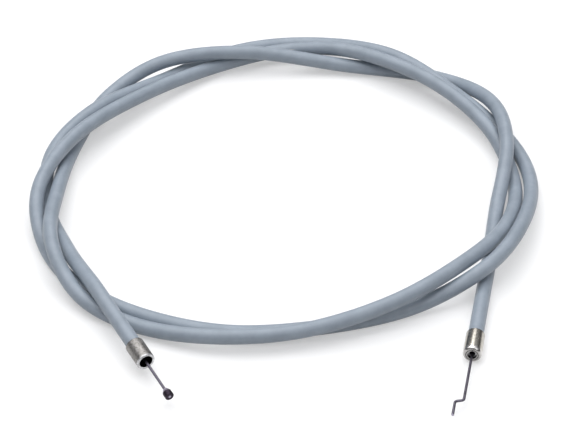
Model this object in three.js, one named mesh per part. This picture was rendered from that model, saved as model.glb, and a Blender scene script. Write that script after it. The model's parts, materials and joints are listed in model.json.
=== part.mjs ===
// A choke cable: a steel wire that slides inside a long sheathed conduit.
// It lies in a loose coil of nearly three turns. One end of the wire carries a soldered nipple,
// the other is bent into a Z hook, and a metal ferrule caps the casing at each end.
// Millimetres, +Z up, the origin on the surface under the middle of the coil.

import * as THREE from "three";

// Casing and wire, from the outside in
const JACKET_OD = 5;
const JACKET_WALL = 0.55;
const CONDUIT_WALL = 0.7;
const WIRE_OD = 0.9;
const JACKET_FIT = 0.2; // between the conduit and the jacket round it, on the radius

// Ferrules
const FERRULE_FIT = 0.15; // between the jacket and a ferrule round it, on the radius
const SEAT_GAP = 0.15; // between the casing's cut end and the step it is pushed against
const FERRULE_WALL = 0.4;
const FERRULE_SIDES = 24;
const REAR_CHAMFER = 0.15;

const CUP_LENGTH = 8.5; // the nipple end's ferrule, an open cup
const CUP_BORE = 4.35;
const CUP_DEPTH = 4.6;
const CUP_CHAMFER = 0.45;

const CAP_LENGTH = 10; // the hook end's ferrule, a drawn cap with a turned-in lip
const CAP_HOLE = 2.9;
const CAP_LIP = 0.7;
const CAP_SHOULDER = 0.95; // radius of the rounded shoulder
const CAP_CREASE = 0.15; // depth of the crease where the lip turns in
const CAP_CREASE_WIDTH = 0.25;

// Nipple
const NIPPLE_OD = 2.9;
const NIPPLE_BARREL = 2.2;
const NIPPLE_NECK = 1.3;
const NIPPLE_NECK_OD = 1.7;
const NIPPLE_FIT = 0.12; // between the wire and the nipple's bore, on the radius
const NIPPLE_CHAMFER = 0.3;
const NIPPLE_REACH = 13.6; // from the cup's mouth to the nipple's neck

// Hook
const HOOK_REACH = 21.8; // from the cap's mouth to the first bend
const CRANK_OFFSET = 2.6;
const CRANK_ADVANCE = 1;
const HOOK_TIP = 6.4;
const HOOK_BEND = 1.1;

// How far the wire slides, and what stays hidden in the casing at either limit
const NIPPLE_IN = 13;
const HOOK_IN = 20;
const HIDDEN_MARGIN = 1;

// Where the cable leaves its ferrules, and which way it points
const CUP_MOUTH = [-44, -82.7, 5.9];
const CUP_BEARING = -28; // degrees from -Y towards -X
const CUP_DIP = 4.5; // degrees below level
const CAP_MOUTH = [59, -76.2, 3.1];
const CAP_BEARING = 10;
const CAP_DIP = 0;

// The casing is straight behind each ferrule, over these distances from the mouth
const CUP_RUN = [17, 28, 39];
const CAP_RUN = [18, 33, 48];

// The loose turns between the two straight ends, from the hook end to the nipple end
const TURNS = [
  [71.5, -1.7, 3.5],
  [77, 29.3, 10],
  [73, 58.8, 8],
  [54, 80.8, 3],
  [21.5, 87.8, 3.5],
  [-14, 88.8, 8.5],
  [-44, 83.8, 8],
  [-64, 67.3, 4],
  [-74, 39.8, 2.78],
  [-78, 6.8, 7],
  [-78, -24.7, 10],
  [-68, -47.2, 5],
  [-50, -60.2, 2.78],
  [-25, -69.2, 5],
  [4.5, -67.7, 6],
  [34, -57.2, 9],
  [58.5, -37.7, 10.5],
  [74, -13.2, 7],
  [79, 15.3, 2.78],
  [71.5, 44.8, 6],
  [52, 69.3, 9.5],
  [25, 89.3, 8.5],
  [0, 96.3, 4.5],
  [-26, 86.8, 3.5],
  [-51.5, 64.3, 6.5],
  [-73, 35.3, 10],
  [-84, 6.3, 9.3],
  [-82, -16.2, 4],
  [-70.5, -37.7, 2.63],
  [-49, -54.7, 2.63],
  [-19.5, -64.2, 2.63],
  [12, -61.7, 2.68],
  [42, -51.7, 3],
  [66, -38.2, 9],
  [79.5, -13.7, 8.5],
  [84.5, 15.8, 4],
  [78.5, 42.3, 2.78],
  [61, 66.8, 5.5],
  [38.5, 87.3, 8.4],
  [10.5, 101.3, 4],
  [-18, 98.3, 2.78],
  [-45, 78.8, 3],
  [-68, 52.8, 8],
  [-81.5, 28.3, 6.5],
  [-81.5, 2.8, 2.78],
  [-72.5, -25.2, 5.5],
];
const CASING_STEPS = 96;
const JACKET_SIDES = 12;
const BORE_SIDES = 8;
const CORE_SIDES = 6;
const WIRE_SIDES = 10;
const BEND_STEPS = 5;

const jacketBore = JACKET_OD / 2 - JACKET_WALL;
const conduitOuter = jacketBore - JACKET_FIT;
const conduitBore = conduitOuter - CONDUIT_WALL;
const ferruleBore = JACKET_OD / 2 + FERRULE_FIT;
const ferruleOuter = ferruleBore + FERRULE_WALL;

// An end of the cable: a place at the ferrule's mouth and the way that the wire leaves it
function cableEnd(mouth, bearing, dip) {
  const turn = THREE.MathUtils.degToRad(bearing);
  const down = THREE.MathUtils.degToRad(dip);
  const level = Math.cos(down);
  const out = new THREE.Vector3(
    -Math.sin(turn) * level,
    -Math.cos(turn) * level,
    -Math.sin(down),
  );
  return { mouth: new THREE.Vector3(...mouth), out };
}

function behind(end, distance) {
  return end.mouth.clone().addScaledVector(end.out, -distance);
}

const cupEnd = cableEnd(CUP_MOUTH, CUP_BEARING, CUP_DIP);
const capEnd = cableEnd(CAP_MOUTH, CAP_BEARING, CAP_DIP);
const cupSeat = CUP_DEPTH + SEAT_GAP;
const capSeat = CAP_LIP + SEAT_GAP;

// The casing's centreline, from its seat in the cap to its seat in the cup
const centreline = new THREE.CatmullRomCurve3(
  [
    ...[capSeat, ...CAP_RUN].map((d) => behind(capEnd, d)),
    ...TURNS.map((p) => new THREE.Vector3(...p)),
    ...[cupSeat, ...CUP_RUN].reverse().map((d) => behind(cupEnd, d)),
  ],
  false,
  "catmullrom",
  0.5,
);
centreline.arcLengthDivisions = 1200;

// The casing's line between two of its steps, so that what lies inside bends just as the casing does
class CasingStretch extends THREE.Curve {
  constructor(firstStep, lastStep) {
    super();
    this.firstStep = firstStep;
    this.steps = lastStep - firstStep;
  }
  getUtoTmapping(u) {
    return u;
  }
  getPoint(t, target) {
    return centreline.getPointAt((this.firstStep + t * this.steps) / CASING_STEPS, target);
  }
}

// Straight lengths joined by round bends, with steps only where the line turns
class BentLine extends THREE.Curve {
  constructor(corners, radius) {
    super();
    this.stations = [corners[0]];
    for (let i = 1; i < corners.length - 1; i++) {
      const inward = corners[i - 1].clone().sub(corners[i]).normalize();
      const outward = corners[i + 1].clone().sub(corners[i]).normalize();
      const cut = radius / Math.tan(inward.angleTo(outward) / 2);
      const bend = new THREE.QuadraticBezierCurve3(
        corners[i].clone().addScaledVector(inward, cut),
        corners[i],
        corners[i].clone().addScaledVector(outward, cut),
      );
      this.stations.push(...bend.getPoints(BEND_STEPS));
    }
    this.stations.push(corners[corners.length - 1]);
  }
  get steps() {
    return this.stations.length - 1;
  }
  getUtoTmapping(u) {
    return u;
  }
  getPoint(t, target = new THREE.Vector3()) {
    const place = t * this.steps;
    const i = Math.min(Math.floor(place), this.steps - 1);
    return target.lerpVectors(this.stations[i], this.stations[i + 1], place - i);
  }
}

function ring(radius, sides) {
  return Array.from({ length: sides }, (_, i) => {
    const a = (2 * Math.PI * (i + 0.5)) / sides;
    return new THREE.Vector2(radius * Math.cos(a), radius * Math.sin(a));
  });
}

function sweep(path, steps, radius, sides, bore = 0, boreSides = sides) {
  const section = new THREE.Shape(ring(radius, sides));
  if (bore > 0) section.holes.push(new THREE.Path(ring(bore, boreSides)));
  return new THREE.ExtrudeGeometry(section, { steps, extrudePath: path });
}

const UP = new THREE.Vector3(0, 1, 0);

// A turned piece: its outline in radius and distance along the axis, the mouth of its ferrule at 0
function turned(outline, end) {
  const points = outline.map(([radius, along]) => new THREE.Vector2(radius, along));
  points.push(points[0].clone());
  const geometry = new THREE.LatheGeometry(points, FERRULE_SIDES);
  geometry.applyQuaternion(new THREE.Quaternion().setFromUnitVectors(UP, end.out));
  return geometry.translate(end.mouth.x, end.mouth.y, end.mouth.z);
}

// A quarter round, from one angle to another, in radius and distance along the axis
function arc(centre, radius, from, to, count) {
  return Array.from({ length: count + 1 }, (_, i) => {
    const a = THREE.MathUtils.degToRad(THREE.MathUtils.lerp(from, to, i / count));
    return [centre[0] + radius * Math.cos(a), centre[1] + radius * Math.sin(a)];
  });
}

function jacket() {
  return sweep(centreline, CASING_STEPS, JACKET_OD / 2, JACKET_SIDES, jacketBore, BORE_SIDES);
}

function conduit() {
  return sweep(centreline, CASING_STEPS, conduitOuter, BORE_SIDES, conduitBore);
}

// The wire is one piece on the real cable: it is in three lengths here, so that both ends can slide
const cupHidden = HOOK_IN + cupSeat + HIDDEN_MARGIN;
const capHidden = NIPPLE_IN + capSeat + HIDDEN_MARGIN;

function coreWire() {
  const start = capHidden + HOOK_IN + HIDDEN_MARGIN - capSeat;
  const finish = centreline.getLength() - (cupHidden + NIPPLE_IN + HIDDEN_MARGIN - cupSeat);
  const stepLength = centreline.getLength() / CASING_STEPS;
  const core = new CasingStretch(Math.ceil(start / stepLength), Math.floor(finish / stepLength));
  return sweep(core, core.steps, WIRE_OD / 2, CORE_SIDES);
}

const nippleLength = NIPPLE_NECK + NIPPLE_BARREL;

function nippleWire() {
  const line = new THREE.LineCurve3(
    behind(cupEnd, cupHidden),
    behind(cupEnd, -(NIPPLE_REACH + nippleLength)),
  );
  return sweep(line, 1, WIRE_OD / 2, WIRE_SIDES);
}

function hookWire() {
  const side = new THREE.Vector3().crossVectors(new THREE.Vector3(0, 0, 1), capEnd.out).negate();
  const bend = behind(capEnd, -HOOK_REACH);
  const crank = bend
    .clone()
    .addScaledVector(side, CRANK_OFFSET)
    .addScaledVector(capEnd.out, CRANK_ADVANCE);
  const tip = crank.clone().addScaledVector(capEnd.out, HOOK_TIP);
  const line = new BentLine([behind(capEnd, capHidden), bend, crank, tip], HOOK_BEND);
  return sweep(line, line.steps, WIRE_OD / 2, WIRE_SIDES);
}

// Barrel with a coned neck, drilled for the wire
function nipple() {
  const bore = WIRE_OD / 2 + NIPPLE_FIT;
  const start = NIPPLE_REACH;
  const shoulder = start + NIPPLE_NECK;
  const finish = start + nippleLength;
  return turned(
    [
      [bore, start],
      [NIPPLE_NECK_OD / 2, start],
      [NIPPLE_OD / 2, shoulder],
      [NIPPLE_OD / 2, finish - NIPPLE_CHAMFER],
      [NIPPLE_OD / 2 - NIPPLE_CHAMFER, finish],
      [bore, finish],
    ],
    cupEnd,
  );
}

// Open cup: the casing is pushed in from behind, as far as the step
function cup() {
  const bore = CUP_BORE / 2;
  return turned(
    [
      [ferruleBore, -CUP_DEPTH],
      [ferruleBore, -CUP_LENGTH],
      [ferruleOuter - REAR_CHAMFER, -CUP_LENGTH],
      [ferruleOuter, REAR_CHAMFER - CUP_LENGTH],
      [ferruleOuter, -CUP_CHAMFER],
      [ferruleOuter - CUP_CHAMFER / 2, 0],
      [bore + CUP_CHAMFER / 2, 0],
      [bore, -CUP_CHAMFER],
      [bore, -CUP_DEPTH],
    ],
    cupEnd,
  );
}

// Drawn cap: a rounded shoulder, then a crease and a lip turned in over the casing's end
function cap() {
  const hole = CAP_HOLE / 2;
  const crease = ferruleOuter - CAP_SHOULDER;
  return turned(
    [
      [ferruleBore, -CAP_LIP],
      [ferruleBore, -CAP_LENGTH],
      [ferruleOuter - REAR_CHAMFER, -CAP_LENGTH],
      [ferruleOuter, REAR_CHAMFER - CAP_LENGTH],
      ...arc([crease, -CAP_SHOULDER], CAP_SHOULDER, 0, 90, 4),
      [crease - CAP_CREASE_WIDTH / 2, -CAP_CREASE],
      [crease - CAP_CREASE_WIDTH, 0],
      [hole, 0],
      [hole, -CAP_LIP],
    ],
    capEnd,
  );
}

const pvc = new THREE.MeshStandardMaterial({ color: 0x8e9dac, roughness: 0.45 });
const steel = new THREE.MeshStandardMaterial({ color: 0x8a8c8e, roughness: 0.4, metalness: 1 });
const nickel = new THREE.MeshStandardMaterial({ color: 0xc9c0b0, roughness: 0.2, metalness: 1 });
const zinc = new THREE.MeshStandardMaterial({ color: 0x9c9a94, roughness: 0.5, metalness: 1 });
const wire = new THREE.MeshStandardMaterial({ color: 0x5e5a66, roughness: 0.45, metalness: 1 });
const bronze = new THREE.MeshStandardMaterial({ color: 0x4a4048, roughness: 0.5, metalness: 1 });

function piece(name, geometry, material) {
  const mesh = new THREE.Mesh(geometry, material);
  mesh.name = name;
  return mesh;
}

const casing = new THREE.Group();
casing.add(
  piece("outer_jacket", jacket(), pvc),
  piece("steel_conduit", conduit(), steel),
  piece("hook_end_ferrule", cap(), nickel),
  piece("nipple_end_ferrule", cup(), zinc),
  piece("inner_wire_core", coreWire(), wire),
);

const nippleEnd = new THREE.Group();
nippleEnd.add(
  piece("inner_wire_nipple_end", nippleWire(), wire),
  piece("cable_nipple", nipple(), bronze),
);

const hookEnd = new THREE.Group();
hookEnd.add(piece("inner_wire_hook_end", hookWire(), wire));

const chokeCable = new THREE.Group();
chokeCable.add(casing, nippleEnd, hookEnd);

export default chokeCable;
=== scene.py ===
# A choke cable that lies in a loose coil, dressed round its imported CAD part.
# A steel wire slides in the casing: pulled by its nipple, it draws the Z hook in at the other end.

import json
import math

import bpy
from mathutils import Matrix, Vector
from mathutils.geometry import interpolate_bezier


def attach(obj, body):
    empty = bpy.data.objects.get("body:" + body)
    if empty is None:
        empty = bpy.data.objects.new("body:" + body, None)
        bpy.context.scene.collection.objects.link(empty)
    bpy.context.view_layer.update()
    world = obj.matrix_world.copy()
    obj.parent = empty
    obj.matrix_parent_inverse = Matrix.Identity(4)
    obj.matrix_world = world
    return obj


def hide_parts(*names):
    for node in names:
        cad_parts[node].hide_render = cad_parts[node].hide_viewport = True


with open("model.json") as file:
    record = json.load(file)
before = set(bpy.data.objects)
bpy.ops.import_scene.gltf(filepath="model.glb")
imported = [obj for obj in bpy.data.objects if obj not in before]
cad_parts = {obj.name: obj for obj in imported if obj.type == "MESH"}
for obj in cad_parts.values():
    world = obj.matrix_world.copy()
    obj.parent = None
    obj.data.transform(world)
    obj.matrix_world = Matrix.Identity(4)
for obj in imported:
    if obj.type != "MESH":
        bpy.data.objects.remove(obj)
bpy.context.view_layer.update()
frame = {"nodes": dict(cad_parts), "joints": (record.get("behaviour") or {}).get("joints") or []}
bpy.ops.object.select_all(action="DESELECT")
MM = 0.001


# The camera looks down on the coil from in front, from far back with a long lens,
# and both ends of the cable point towards it.
CAMERA_PLACE = (-0.00031, -0.68542, 0.52303)
CAMERA_TILT = 52.5
CAMERA_LENS = 159.27

bpy.ops.object.camera_add(
    location=CAMERA_PLACE, rotation=(math.radians(CAMERA_TILT), 0, 0)
)
camera = bpy.context.object
camera.name = "camera"
camera.data.lens = CAMERA_LENS
camera.data.sensor_width = 36
camera.data.sensor_fit = "HORIZONTAL"
bpy.context.scene.camera = camera


# The outer jacket is an extruded PVC tube, blue-grey and satin, that keeps water off the conduit.
# It is cut square at both ends, and each end is pushed into a ferrule. It lies in nearly three
# loose turns that ride over and under each other, and it is straight only behind the ferrules.
JACKET_OD = 5 * MM
JACKET_WALL = 0.55 * MM
CUP_MOUTH = Vector((-0.044, -0.0827, 0.0059))
CAP_MOUTH = Vector((0.059, -0.0762, 0.0031))
CUP_SEAT = 4.75 * MM
CAP_SEAT = 0.85 * MM
# the points of the casing's line: how far behind each mouth they lie, and those of its turns
CUP_RUN = (0.017, 0.028, 0.039)
CAP_RUN = (0.018, 0.033, 0.048)
TURNS = [
    (0.0715, -0.0017, 0.0035), (0.077, 0.0293, 0.01), (0.073, 0.0588, 0.008),
    (0.054, 0.0808, 0.003), (0.0215, 0.0878, 0.0035), (-0.014, 0.0888, 0.0085),
    (-0.044, 0.0838, 0.008), (-0.064, 0.0673, 0.004), (-0.074, 0.0398, 0.00278),
    (-0.078, 0.0068, 0.007), (-0.078, -0.0247, 0.01), (-0.068, -0.0472, 0.005),
    (-0.05, -0.0602, 0.00278), (-0.025, -0.0692, 0.005), (0.0045, -0.0677, 0.006),
    (0.034, -0.0572, 0.009), (0.0585, -0.0377, 0.0105), (0.074, -0.0132, 0.007),
    (0.079, 0.0153, 0.00278), (0.0715, 0.0448, 0.006), (0.052, 0.0693, 0.0095),
    (0.025, 0.0893, 0.0085), (0, 0.0963, 0.0045), (-0.026, 0.0868, 0.0035),
    (-0.0515, 0.0643, 0.0065), (-0.073, 0.0353, 0.01), (-0.084, 0.0063, 0.0093),
    (-0.082, -0.0162, 0.004), (-0.0705, -0.0377, 0.00263), (-0.049, -0.0547, 0.00263),
    (-0.0195, -0.0642, 0.00263), (0.012, -0.0617, 0.00268), (0.042, -0.0517, 0.003),
    (0.066, -0.0382, 0.009), (0.0795, -0.0137, 0.0085), (0.0845, 0.0158, 0.004),
    (0.0785, 0.0423, 0.00278), (0.061, 0.0668, 0.0055), (0.0385, 0.0873, 0.0084),
    (0.0105, 0.1013, 0.004), (-0.018, 0.0983, 0.00278), (-0.045, 0.0788, 0.003),
    (-0.068, 0.0528, 0.008), (-0.0815, 0.0283, 0.0065), (-0.0815, 0.0028, 0.00278),
    (-0.0725, -0.0252, 0.0055),
]
ROUTE_STEPS = 12
JACKET_SIDES = 40

joints = {joint["name"]: joint for joint in frame["joints"]}
cup_out = Vector(joints["nipple_end_slide"]["axis"]).normalized()
cap_out = Vector(joints["hook_end_slide"]["axis"]).normalized()


def cup_line(distance):
    """The point at this distance out of the cup's mouth. Behind the mouth it is negative."""
    return CUP_MOUTH + cup_out * distance


def cap_line(distance):
    """The same at the cap."""
    return CAP_MOUTH + cap_out * distance


casing_points = [cap_line(-d) for d in (CAP_SEAT, *CAP_RUN)]
casing_points += [Vector(point) for point in TURNS]
casing_points += [cup_line(-d) for d in (*reversed(CUP_RUN), CUP_SEAT)]


def handles(points):
    """Before and after each point, the handles of the smooth line that passes through them all."""
    before = [2 * points[0] - points[1]] + points[:-1]
    after = points[1:] + [2 * points[-1] - points[-2]]
    pulls = [(b - a) / 6 for a, b in zip(before, after)]
    return [(p - pull, p + pull) for p, pull in zip(points, pulls)]


def smooth_line(points):
    """The same line as the tube's rings stand on."""
    line = []
    ends = list(zip(points, handles(points)))
    for (start, (_, leave)), (finish, (arrive, _)) in zip(ends, ends[1:]):
        line += interpolate_bezier(start, leave, arrive, finish, ROUTE_STEPS + 1)[:-1]
    return line + [points[-1]]


def mesh_of(name, curve):
    """A piece whose mesh is made from a curve. It is left active and selected."""
    drawn = bpy.data.objects.new(name, curve)
    bpy.context.scene.collection.objects.link(drawn)
    bpy.context.view_layer.objects.active = drawn
    drawn.select_set(True)
    bpy.ops.object.convert(target="MESH")
    return bpy.context.object


def drawn_tube(name, points, radius, sides):
    """An open round tube, drawn along a smooth line through the points."""
    curve = bpy.data.curves.new(name, "CURVE")
    curve.dimensions = "3D"
    curve.twist_mode = "MINIMUM"
    curve.resolution_u = curve.render_resolution_u = ROUTE_STEPS
    curve.bevel_depth = radius
    curve.bevel_resolution = (sides - 4) // 2
    spline = curve.splines.new("BEZIER")
    spline.bezier_points.add(len(points) - 1)
    for knot, point, (left, right) in zip(spline.bezier_points, points, handles(points)):
        knot.handle_left_type = knot.handle_right_type = "FREE"
        knot.co, knot.handle_left, knot.handle_right = point, left, right
    tube = mesh_of(name, curve)
    bpy.ops.object.shade_smooth()
    tube.select_set(False)
    return tube


def apply_modifiers(piece):
    """Makes what the modifiers do part of the mesh."""
    bpy.context.view_layer.objects.active = piece
    for modifier in list(piece.modifiers):
        bpy.ops.object.modifier_apply(modifier=modifier.name)


outer_jacket = drawn_tube("casing_jacket", casing_points, JACKET_OD / 2, JACKET_SIDES)
wall = outer_jacket.modifiers.new("wall", "SOLIDIFY")
wall.thickness = JACKET_WALL
wall.offset = -1
apply_modifiers(outer_jacket)


def grain_group():
    """Fine irregular grain: a value about 0.5, for colour, roughness or bumps."""
    group = bpy.data.node_groups.new("fine_grain", "ShaderNodeTree")
    group.interface.new_socket("Scale", in_out="INPUT", socket_type="NodeSocketFloat")
    group.interface.new_socket("Detail", in_out="INPUT", socket_type="NodeSocketFloat")
    group.interface.new_socket("Value", in_out="OUTPUT", socket_type="NodeSocketFloat")
    take = group.nodes.new("NodeGroupInput")
    give = group.nodes.new("NodeGroupOutput")
    place = group.nodes.new("ShaderNodeTexCoord")
    noise = group.nodes.new("ShaderNodeTexNoise")
    noise.inputs["Roughness"].default_value = 0.6
    group.links.new(place.outputs["Object"], noise.inputs["Vector"])
    group.links.new(take.outputs["Scale"], noise.inputs["Scale"])
    group.links.new(take.outputs["Detail"], noise.inputs["Detail"])
    group.links.new(noise.outputs["Fac"], give.inputs["Value"])
    return group


fine_grain = grain_group()
GRAIN_LOW, GRAIN_HIGH = 0.3, 0.7


def grain(tree, scale, detail=4):
    """The grain's value, at this many waves a metre."""
    node = tree.nodes.new("ShaderNodeGroup")
    node.node_tree = fine_grain
    node.inputs["Scale"].default_value = scale
    node.inputs["Detail"].default_value = detail
    return node.outputs["Value"]


def ramp(tree, value, stops):
    """A colour ramp over a value: stops are (place, colour) pairs."""
    node = tree.nodes.new("ShaderNodeValToRGB")
    elements = node.color_ramp.elements
    while len(elements) < len(stops):
        elements.new(0.5)
    for element, (place, colour) in zip(elements, stops):
        element.position = place
        element.color = (*colour, 1)
    tree.links.new(value, node.inputs["Fac"])
    return node.outputs["Color"]


def spread(tree, value, low, high):
    """Takes a grain's usual range to the range that a socket wants."""
    node = tree.nodes.new("ShaderNodeMapRange")
    node.inputs["From Min"].default_value = GRAIN_LOW
    node.inputs["From Max"].default_value = GRAIN_HIGH
    node.inputs["To Min"].default_value = low
    node.inputs["To Max"].default_value = high
    tree.links.new(value, node.inputs["Value"])
    return node.outputs["Result"]


def bump(tree, shader, height, depth, strength):
    """Small bumps of this depth, in metres, where the height is above or below its middle."""
    node = tree.nodes.new("ShaderNodeBump")
    node.inputs["Strength"].default_value = strength
    node.inputs["Distance"].default_value = depth
    tree.links.new(height, node.inputs["Height"])
    tree.links.new(node.outputs["Normal"], shader.inputs["Normal"])


def finish_of(name, metallic=0.0, roughness=0.5):
    """A new material with its one shader."""
    material = bpy.data.materials.new(name)
    material.use_nodes = True
    shader = material.node_tree.nodes["Principled BSDF"]
    shader.inputs["Metallic"].default_value = metallic
    shader.inputs["Roughness"].default_value = roughness
    return material, material.node_tree, shader


def dress(piece, material):
    """Gives the piece this one material."""
    piece.data.materials.clear()
    piece.data.materials.append(material)


PVC_SHADE = (0.25, 0.293, 0.342)
PVC_LIGHT = (0.29, 0.335, 0.39)


def pvc():
    """Satin blue-grey PVC, slightly mottled, with the faint dimples that an extruded skin has."""
    material, tree, shader = finish_of("blue_grey_pvc")
    blotch = grain(tree, 160, 3)
    colours = [(0.35, PVC_SHADE), (0.65, PVC_LIGHT)]
    tree.links.new(ramp(tree, blotch, colours), shader.inputs["Base Color"])
    tree.links.new(spread(tree, grain(tree, 900), 0.38, 0.5), shader.inputs["Roughness"])
    bump(tree, shader, grain(tree, 2400, 2), 0.02 * MM, 0.35)
    return material


dress(outer_jacket, pvc())
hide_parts("outer_jacket")
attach(outer_jacket, "casing")


# The conduit is flat steel wire wound in a close helix, and it takes the push of the wire's pull.
# Its square end shows only down the mouth of the nipple end's ferrule.
CONDUIT_COLOUR = (0.45, 0.45, 0.46)


def oiled_steel(name, colour, roughness):
    """Bare steel under a film of oil, darker where the film is thick."""
    material, tree, shader = finish_of(name, metallic=1.0)
    light = tuple(min(1, c * 1.25) for c in colour)
    dark = tuple(c * 0.7 for c in colour)
    tree.links.new(
        ramp(tree, grain(tree, 1500), [(0.3, dark), (0.7, light)]), shader.inputs["Base Color"]
    )
    tree.links.new(
        spread(tree, grain(tree, 2600), roughness - 0.08, roughness + 0.08),
        shader.inputs["Roughness"],
    )
    bump(tree, shader, grain(tree, 5200, 2), 0.01 * MM, 0.4)
    return material


dress(frame["nodes"]["steel_conduit"], oiled_steel("conduit_steel", CONDUIT_COLOUR, 0.4))


# The nipple end's ferrule is an open cup of dull plated steel, turned with a step in its bore.
# The casing is pushed in from behind as far as the step, and the wire runs out through the mouth.
# The sizes of the turned pieces are in mm.
CUP_LENGTH = 8.5
CUP_BORE = 4.35
CUP_DEPTH = 4.6
CUP_CHAMFER = 0.45
FERRULE_BORE = 5.3
FERRULE_OD = 6.1
FERRULE_SIDES = 96
REAR_CHAMFER = 0.15
REAR_ROUND = 0.12
CUP_OUTER_ROUND = 0.16
CUP_INNER_ROUND = 0.2
SMOOTH_ANGLE = 35


def arc(centre, radius, start, stop, count):
    """Points of a round corner, as radius from the axis and distance along it."""
    turns = [math.radians(start + (stop - start) * i / count) for i in range(count + 1)]
    return [(centre[0] + radius * math.cos(a), centre[1] + radius * math.sin(a)) for a in turns]


def turned(name, outline, sides, mouth, out):
    """A turned piece. A ring is drawn at the outline's first point and extruded round it."""
    outline = [(radius * MM, along * MM) for radius, along in outline]
    radius, along = outline[0]
    bpy.ops.mesh.primitive_circle_add(vertices=sides, radius=radius)
    piece = bpy.context.object
    piece.name = piece.data.name = name
    bpy.ops.object.mode_set(mode="EDIT")
    bpy.ops.mesh.select_all(action="SELECT")
    bpy.ops.transform.translate(value=(0, 0, along))
    for next_radius, next_along in outline[1:] + outline[:1]:
        bpy.ops.mesh.extrude_region_move(
            TRANSFORM_OT_translate={"value": (0, 0, next_along - along)}
        )
        size = next_radius / radius
        bpy.ops.transform.resize(value=(size, size, 1), center_override=(0, 0, next_along))
        radius, along = next_radius, next_along
    bpy.ops.mesh.select_all(action="SELECT")
    bpy.ops.mesh.remove_doubles(threshold=1e-6)
    bpy.ops.mesh.normals_make_consistent(inside=False)
    bpy.ops.object.mode_set(mode="OBJECT")
    piece.rotation_mode = "QUATERNION"
    piece.rotation_quaternion = Vector((0, 0, 1)).rotation_difference(out)
    piece.location = mouth
    bpy.ops.object.transform_apply(location=True, rotation=True)
    bpy.ops.object.shade_smooth_by_angle(angle=math.radians(SMOOTH_ANGLE))
    piece.select_set(False)
    return piece


cup_bore, outer, seat_bore = CUP_BORE / 2, FERRULE_OD / 2, FERRULE_BORE / 2


def rear_end(length):
    """A ferrule's rear end, from the inside round to the outside."""
    return [
        (seat_bore, REAR_ROUND - length),
        *arc((seat_bore + REAR_ROUND, REAR_ROUND - length), REAR_ROUND, 180, 270, 4),
        *arc((outer - REAR_CHAMFER, REAR_CHAMFER - length), REAR_CHAMFER, -90, 0, 5),
    ]


nipple_end_ferrule = turned(
    "cup_ferrule",
    [
        (seat_bore, -CUP_DEPTH),
        *rear_end(CUP_LENGTH),
        (outer, -CUP_CHAMFER),
        *arc((outer - CUP_OUTER_ROUND, -CUP_OUTER_ROUND), CUP_OUTER_ROUND, 0, 90, 6),
        *arc((cup_bore + CUP_INNER_ROUND, -CUP_INNER_ROUND), CUP_INNER_ROUND, 90, 180, 6),
        (cup_bore, -CUP_DEPTH),
    ],
    FERRULE_SIDES,
    CUP_MOUTH,
    cup_out,
)


def axis_group():
    """How far a point lies along and off the axis that runs out of a mouth, in mm."""
    group = bpy.data.node_groups.new("by_axis", "ShaderNodeTree")
    group.interface.new_socket("Mouth", in_out="INPUT", socket_type="NodeSocketVector")
    group.interface.new_socket("Axis", in_out="INPUT", socket_type="NodeSocketVector")
    group.interface.new_socket("Along", in_out="OUTPUT", socket_type="NodeSocketFloat")
    group.interface.new_socket("Off", in_out="OUTPUT", socket_type="NodeSocketFloat")
    take = group.nodes.new("NodeGroupInput")
    give = group.nodes.new("NodeGroupOutput")
    place = group.nodes.new("ShaderNodeTexCoord")

    def step(operation, first, second):
        node = group.nodes.new("ShaderNodeVectorMath")
        node.operation = operation
        group.links.new(first, node.inputs[0])
        group.links.new(second, node.inputs[1])
        return node

    def in_mm(value, socket):
        node = group.nodes.new("ShaderNodeMath")
        node.operation = "DIVIDE"
        node.inputs[1].default_value = MM
        group.links.new(value, node.inputs[0])
        group.links.new(node.outputs["Value"], give.inputs[socket])

    from_mouth = step("SUBTRACT", place.outputs["Object"], take.outputs["Mouth"])
    along = step("DOT_PRODUCT", from_mouth.outputs["Vector"], take.outputs["Axis"])
    square = step("CROSS_PRODUCT", from_mouth.outputs["Vector"], take.outputs["Axis"])
    off = group.nodes.new("ShaderNodeVectorMath")
    off.operation = "LENGTH"
    group.links.new(square.outputs["Vector"], off.inputs[0])
    in_mm(along.outputs["Value"], "Along")
    in_mm(off.outputs["Value"], "Off")
    return group


by_axis = axis_group()
# Painted shade: the ferrules' bores are painted this near black.
PAINTED_BORE_SHADE = (0.03, 0.028, 0.026)
CLEAN = (1, 1, 1)
ZINC_REAR = (0.22, 0.21, 0.21)
ZINC_DULL = (0.36, 0.345, 0.33)
# Painted highlight: the cup's rounded mouth rim is painted this bright.
ZINC_RIM_PAINTED_HIGHLIGHT = (0.72, 0.72, 0.73)


def banded(tree, mouth, axis, stops, way="Along"):
    """Colours in bands along an axis, or in rings off it. The stops' places are in mm."""
    start, finish = stops[0][0], stops[-1][0]
    node = tree.nodes.new("ShaderNodeGroup")
    node.node_tree = by_axis
    node.inputs["Mouth"].default_value = mouth
    node.inputs["Axis"].default_value = axis
    reach = tree.nodes.new("ShaderNodeMapRange")
    reach.inputs["From Min"].default_value = start
    reach.inputs["From Max"].default_value = finish
    tree.links.new(node.outputs[way], reach.inputs["Value"])
    places = [((place - start) / (finish - start), colour) for place, colour in stops]
    return ramp(tree, reach.outputs["Result"], places)


def times(tree, first, second):
    """One colour multiplied by another."""
    node = tree.nodes.new("ShaderNodeMix")
    node.data_type = "RGBA"
    node.blend_type = "MULTIPLY"
    node.inputs["Factor"].default_value = 1
    tree.links.new(first, node.inputs["A"])
    tree.links.new(second, node.inputs["B"])
    return node.outputs["Result"]


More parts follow.
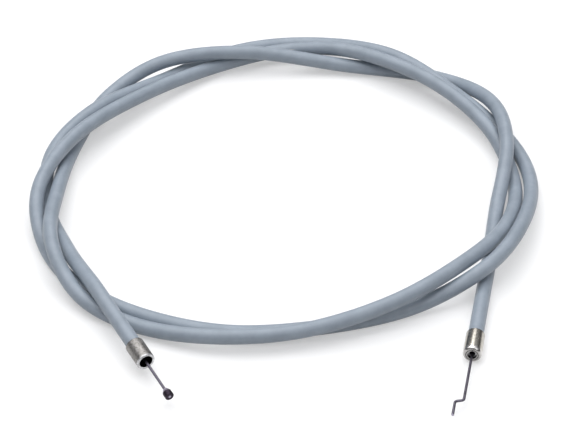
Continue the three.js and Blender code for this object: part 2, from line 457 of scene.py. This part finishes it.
def plated(name, mouth, axis, bands, rings, roughness, speckle):
    """Plating over steel, with painted highlights among its bands along the axis, painted shade in
    rings round it, and speckles where it is dull.
    """
    material, tree, shader = finish_of(name, metallic=1.0)
    specks = ramp(tree, grain(tree, 1500, 5), [(0.36, (1 - speckle,) * 3), (0.56, CLEAN)])
    patches = ramp(tree, grain(tree, 420, 3), [(0.35, (1 - speckle / 2,) * 3), (0.6, CLEAN)])
    painted_ring_shade = banded(tree, mouth, axis, rings, "Off")
    specks_and_ring_shade = times(tree, times(tree, specks, patches), painted_ring_shade)
    colour = times(tree, banded(tree, mouth, axis, bands), specks_and_ring_shade)
    tree.links.new(colour, shader.inputs["Base Color"])
    tree.links.new(
        spread(tree, grain(tree, 1400), roughness - 0.05, roughness + 0.1),
        shader.inputs["Roughness"],
    )
    bump(tree, shader, grain(tree, 2600, 3), 0.03 * MM, 0.3 + speckle)
    return material


# Painted shade: the cup's bore is painted near black up to its rounded mouth.
cup_rings = [(cup_bore + 0.03, PAINTED_BORE_SHADE), (cup_bore + 0.12, CLEAN)]
# Darker at the rear end; the mouth's rounded rim is painted bright all round as a highlight.
cup_bands = [
    (-CUP_LENGTH, ZINC_REAR),
    (0.5 - CUP_LENGTH, ZINC_DULL),
    (-CUP_CHAMFER - 0.15, ZINC_DULL),
    (-CUP_CHAMFER, ZINC_RIM_PAINTED_HIGHLIGHT),
    (0, ZINC_RIM_PAINTED_HIGHLIGHT),
]
dress(
    nipple_end_ferrule,
    plated("dull_zinc_plate", CUP_MOUTH, cup_out, cup_bands, cup_rings, 0.42, 0.45),
)
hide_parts("nipple_end_ferrule")
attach(nipple_end_ferrule, "casing")


# The hook end's ferrule is a cap, drawn from thin sheet with a round shoulder and nickel plated.
# Its end is turned in over the casing as a lip round the wire's hole, and a crease runs round the
# lip where the sheet was folded.
CAP_LENGTH = 10
CAP_HOLE = 2.9
CAP_LIP = 0.7
CAP_SHOULDER = 0.95
CAP_CREASE = 0.15
CAP_CREASE_WIDTH = 0.25
CREASE_STEPS = 8
CAP_HOLE_ROUND = 0.12
NICKEL_REAR = (0.3, 0.28, 0.25)
NICKEL_SIDE = (0.5, 0.47, 0.42)
NICKEL_FRONT = (0.56, 0.53, 0.47)
# Painted highlight on the cap's shoulder and crown; painted dim reflection on its face.
NICKEL_SHOULDER_PAINTED_HIGHLIGHT = (0.76, 0.73, 0.72)
NICKEL_CROWN_PAINTED_HIGHLIGHT = (0.7, 0.68, 0.66)
NICKEL_FACE_PAINTED_REFLECTION = (0.42, 0.41, 0.4)
# Painted shade: the dark ring in the cap's crease.
PAINTED_CREASE_SHADE = (0.2, 0.19, 0.18)

crease = outer - CAP_SHOULDER
hole = CAP_HOLE / 2


def folded_crease():
    """The crease's round section, from the shoulder in to the lip."""
    steps = [i / CREASE_STEPS for i in range(1, CREASE_STEPS + 1)]
    return [
        (crease - CAP_CREASE_WIDTH * t, -CAP_CREASE * math.sin(math.pi * t)) for t in steps
    ]


hook_end_ferrule = turned(
    "cap_ferrule",
    [
        (seat_bore, -CAP_LIP),
        *rear_end(CAP_LENGTH),
        *arc((crease, -CAP_SHOULDER), CAP_SHOULDER, 0, 90, 12),
        *folded_crease(),
        *arc((hole + CAP_HOLE_ROUND, -CAP_HOLE_ROUND), CAP_HOLE_ROUND, 90, 180, 6),
        (hole, -CAP_LIP),
    ],
    FERRULE_SIDES,
    CAP_MOUTH,
    cap_out,
)
# Darker at the rear end and lighter towards the front; the shoulder and its crown are painted
# bright as a highlight, and the face is painted darker as a dim reflection.
cap_bands = [
    (-CAP_LENGTH, NICKEL_REAR),
    (0.6 - CAP_LENGTH, NICKEL_SIDE),
    (-CAP_SHOULDER - 1, NICKEL_FRONT),
    (-CAP_SHOULDER, NICKEL_SHOULDER_PAINTED_HIGHLIGHT),
    (-CAP_SHOULDER / 2, NICKEL_CROWN_PAINTED_HIGHLIGHT),
    (0, NICKEL_FACE_PAINTED_REFLECTION),
]
crease_middle = crease - CAP_CREASE_WIDTH / 2
# Painted shade: the hole's bore is painted near black, and a dark ring is painted in the crease.
cap_rings = [
    (hole + 0.05, PAINTED_BORE_SHADE),
    (hole + 0.11, CLEAN),
    (crease_middle - 0.13, CLEAN),
    (crease_middle - 0.06, PAINTED_CREASE_SHADE),
    (crease_middle + 0.06, PAINTED_CREASE_SHADE),
    (crease_middle + 0.15, CLEAN),
]
dress(
    hook_end_ferrule,
    plated("bright_nickel_plate", CAP_MOUTH, cap_out, cap_bands, cap_rings, 0.2, 0.25),
)
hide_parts("hook_end_ferrule")
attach(hook_end_ferrule, "casing")


# The inner wire is one length of hard steel wire, oiled and dark. It is in three lengths here: one
# slides with the nipple, one with the hook, and the third lies hidden in the casing between them.
# The hook is bent cold into a Z: the wire steps sideways and goes on the way it came.
WIRE_OD = 0.9 * MM
WIRE_SIDES = 20
CUP_HIDDEN = 25.75 * MM
CAP_HIDDEN = 14.85 * MM
NIPPLE_REACH = 13.6
NIPPLE_NECK = 1.3
NIPPLE_BARREL = 2.2
HOOK_REACH = 21.8 * MM
CRANK_OFFSET = 2.6 * MM
CRANK_ADVANCE = 1 * MM
HOOK_TIP = 6.4 * MM
HOOK_BEND = 1.1 * MM
BEND_STEPS = 10
BROKEN_EDGE = 0.08 * MM
WIRE_COLOUR = (0.13, 0.12, 0.15)
WIRE_ROUGHNESS = 0.36
CUT_SHINE = 2.6
CUT_STARTS = 0.12
CUT_FULL = 0.05


def bent_line(corners):
    """Straight lengths joined by round bends."""
    line = [corners[0]]
    for before, corner, after in zip(corners, corners[1:], corners[2:]):
        inward = (before - corner).normalized()
        outward = (after - corner).normalized()
        cut = HOOK_BEND / math.tan(inward.angle(outward) / 2)
        start, finish = corner + inward * cut, corner + outward * cut
        pull = (corner - start) * 2 / 3, (corner - finish) * 2 / 3
        line += interpolate_bezier(start, start + pull[0], finish + pull[1], finish, BEND_STEPS)
    return line + [corners[-1]]


def wire_length(name, line):
    """A round wire along a line, cut square, with its cut edges broken."""
    curve = bpy.data.curves.new(name, "CURVE")
    curve.dimensions = "3D"
    curve.bevel_depth = WIRE_OD / 2
    curve.bevel_resolution = (WIRE_SIDES - 4) // 2
    curve.use_fill_caps = True
    spline = curve.splines.new("POLY")
    spline.points.add(len(line) - 1)
    for knot, point in zip(spline.points, line):
        knot.co = (*point, 1)
    wire = mesh_of(name, curve)
    bpy.ops.object.mode_set(mode="EDIT")
    bpy.ops.mesh.select_all(action="SELECT")
    bpy.ops.mesh.remove_doubles(threshold=1e-6)
    bpy.ops.mesh.normals_make_consistent(inside=False)
    bpy.ops.object.mode_set(mode="OBJECT")
    broken = wire.modifiers.new("broken_edges", "BEVEL")
    broken.width = BROKEN_EDGE
    broken.segments = 3
    broken.limit_method = "ANGLE"
    broken.angle_limit = math.radians(60)
    apply_modifiers(wire)
    bpy.ops.object.shade_smooth_by_angle(angle=math.radians(SMOOTH_ANGLE))
    wire.select_set(False)
    return wire


def cut_wire(name, mouth, axis, end):
    """The wire's oiled steel, with the bright face that the cutters left at its end."""
    material = oiled_steel(name, WIRE_COLOUR, WIRE_ROUGHNESS)
    tree = material.node_tree
    shader = tree.nodes["Principled BSDF"]
    oiled = shader.inputs["Base Color"].links[0].from_socket
    stops = [(end - CUT_STARTS, CLEAN), (end - CUT_FULL, (CUT_SHINE,) * 3)]
    bright = banded(tree, mouth, axis, stops)
    tree.links.new(times(tree, oiled, bright), shader.inputs["Base Color"])
    return material


nipple_face = NIPPLE_REACH + NIPPLE_NECK + NIPPLE_BARREL
nipple_wire = wire_length("nipple_wire", [cup_line(-CUP_HIDDEN), cup_line(nipple_face * MM)])
dress(nipple_wire, cut_wire("nipple_wire_steel", CUP_MOUTH, cup_out, nipple_face))
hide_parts("inner_wire_nipple_end")
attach(nipple_wire, "nipple_end")

hook_side = cap_out.cross(Vector((0, 0, 1)))
bend = cap_line(HOOK_REACH)
crank = bend + hook_side * CRANK_OFFSET + cap_out * CRANK_ADVANCE
hook_corners = [cap_line(-CAP_HIDDEN), bend, crank, crank + cap_out * HOOK_TIP]
hook_wire = wire_length("hook_wire", bent_line(hook_corners))
hook_end = (HOOK_REACH + CRANK_ADVANCE + HOOK_TIP) / MM
dress(hook_wire, cut_wire("hook_wire_steel", CAP_MOUTH, cap_out, hook_end))
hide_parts("inner_wire_hook_end")
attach(hook_wire, "hook_end")

core_steel = oiled_steel("core_wire_steel", WIRE_COLOUR, WIRE_ROUGHNESS)
dress(frame["nodes"]["inner_wire_core"], core_steel)


# The nipple is a small bronze barrel with a coned neck, drilled for the wire and soldered to it.
# The solder stands as a low bead round the wire at the neck, and fills the hole at the face.
NIPPLE_OD = 2.9
NIPPLE_NECK_OD = 1.7
NIPPLE_CHAMFER = 0.3
NIPPLE_ROUND = 0.2
NIPPLE_SIDES = 48
SOLDER_RISE = 0.1
SOLDER_SHADOW = (0.6, 0.58, 0.62)
NECK_START = (0.8, 0.76, 0.86)
NECK_END = (0.6, 0.56, 0.65)
BLACKENED = (0.045, 0.036, 0.05)

wire_radius = WIRE_OD / MM / 2
shoulder = NIPPLE_REACH + NIPPLE_NECK
barrel = NIPPLE_OD / 2
bead = NIPPLE_REACH - SOLDER_RISE
cable_nipple = turned(
    "soldered_nipple",
    [
        (wire_radius, bead),
        *arc((NIPPLE_NECK_OD / 2 - NIPPLE_ROUND, bead + NIPPLE_ROUND), NIPPLE_ROUND, -90, 0, 4),
        (barrel - 0.06, shoulder - 0.04),
        *arc((barrel - NIPPLE_ROUND, shoulder + 0.16), NIPPLE_ROUND, -20, 0, 2),
        *arc((barrel - NIPPLE_CHAMFER, nipple_face - NIPPLE_CHAMFER), NIPPLE_CHAMFER, 0, 90, 6),
        (wire_radius + 0.25, nipple_face - 0.02),
        (wire_radius, nipple_face - 0.08),
    ],
    NIPPLE_SIDES,
    CUP_MOUTH,
    cup_out,
)


def dark_bronze():
    """Bronze blackened by flux and heat, with the solder's grey left over its neck."""
    material, tree, shader = finish_of("dark_bronze", metallic=1.0)
    stops = [(NIPPLE_REACH, NECK_START), (shoulder - 0.2, NECK_END), (shoulder + 0.3, BLACKENED)]
    bands = banded(tree, CUP_MOUTH, cup_out, stops)
    smear = ramp(tree, grain(tree, 900, 5), [(0.35, SOLDER_SHADOW), (0.65, CLEAN)])
    tree.links.new(times(tree, bands, smear), shader.inputs["Base Color"])
    tree.links.new(spread(tree, grain(tree, 1900), 0.35, 0.55), shader.inputs["Roughness"])
    bump(tree, shader, grain(tree, 2600, 3), 0.03 * MM, 0.5)
    return material


dress(cable_nipple, dark_bronze())
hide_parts("cable_nipple")
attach(cable_nipple, "nipple_end")


# The casing is the object's one cord, seen from end to end in its loose turns. It starts in the
# hook end's ferrule, ends in the nipple end's, and carries both.
casing_line = smooth_line(casing_points)


# The studio: a white paper table in a dim room, under a broad soft box and with another one low
# behind the coil. The room is dark near the horizon, and that gives round metal its dark bands.
FLOOR_SIZE = 6
FLOOR_HEIGHT = -0.0002
PAPER_COLOUR = (0.58, 0.58, 0.58, 1)
PAPER_GLOW = 0.4
ROOM_STOPS = [(0, (0.1, 0.1, 0.1)), (0.3, (0.16, 0.16, 0.165)), (0.75, (0.95, 0.96, 1))]
ROOM_STRENGTH = 0.75

bpy.ops.mesh.primitive_plane_add(size=FLOOR_SIZE, location=(0, 0, FLOOR_HEIGHT))
floor = bpy.context.object
floor.name = "studio_floor"


def paper():
    """White paper. Its glow is seen, straight or mirrored, but throws no diffuse light."""
    material, tree, shader = finish_of("white_paper", roughness=0.9)
    shader.inputs["Base Color"].default_value = PAPER_COLOUR
    shader.inputs["Emission Color"].default_value = (1, 1, 1, 1)
    path = tree.nodes.new("ShaderNodeLightPath")
    seen = path.outputs["Is Camera Ray"]
    for kind in ("Is Glossy Ray", "Is Transmission Ray"):
        either = tree.nodes.new("ShaderNodeMath")
        either.operation = "MAXIMUM"
        tree.links.new(seen, either.inputs[0])
        tree.links.new(path.outputs[kind], either.inputs[1])
        seen = either.outputs["Value"]
    glow = tree.nodes.new("ShaderNodeMath")
    glow.operation = "MULTIPLY"
    glow.inputs[1].default_value = PAPER_GLOW
    tree.links.new(seen, glow.inputs[0])
    tree.links.new(glow.outputs["Value"], shader.inputs["Emission Strength"])
    return material


dress(floor, paper())


def lamp(name, place, size, power):
    """A square soft box that faces the coil."""
    turn = (-Vector(place)).to_track_quat("-Z", "Y").to_euler()
    bpy.ops.object.light_add(type="AREA", location=place, rotation=turn)
    light = bpy.context.object
    light.name = name
    light.data.size = size
    light.data.energy = power


lamp("lamp_above", (-0.25, 0.3, 1.5), 1.8, 22)
lamp("lamp_behind", (0.1, 1.7, 1.35), 0.8, 3.5)
lamp("lamp_front", (0.9, -1.1, 1.2), 0.8, 4)

world = bpy.data.worlds.new("studio")
bpy.context.scene.world = world
world.use_nodes = True
room = world.node_tree
looking = room.nodes.new("ShaderNodeTexCoord")
axes = room.nodes.new("ShaderNodeSeparateXYZ")
room.links.new(looking.outputs["Generated"], axes.inputs["Vector"])
backdrop = room.nodes["Background"]
room.links.new(ramp(room, axes.outputs["Z"], ROOM_STOPS), backdrop.inputs["Color"])
backdrop.inputs["Strength"].default_value = ROOM_STRENGTH

bpy.context.scene.view_settings.view_transform = "Standard"
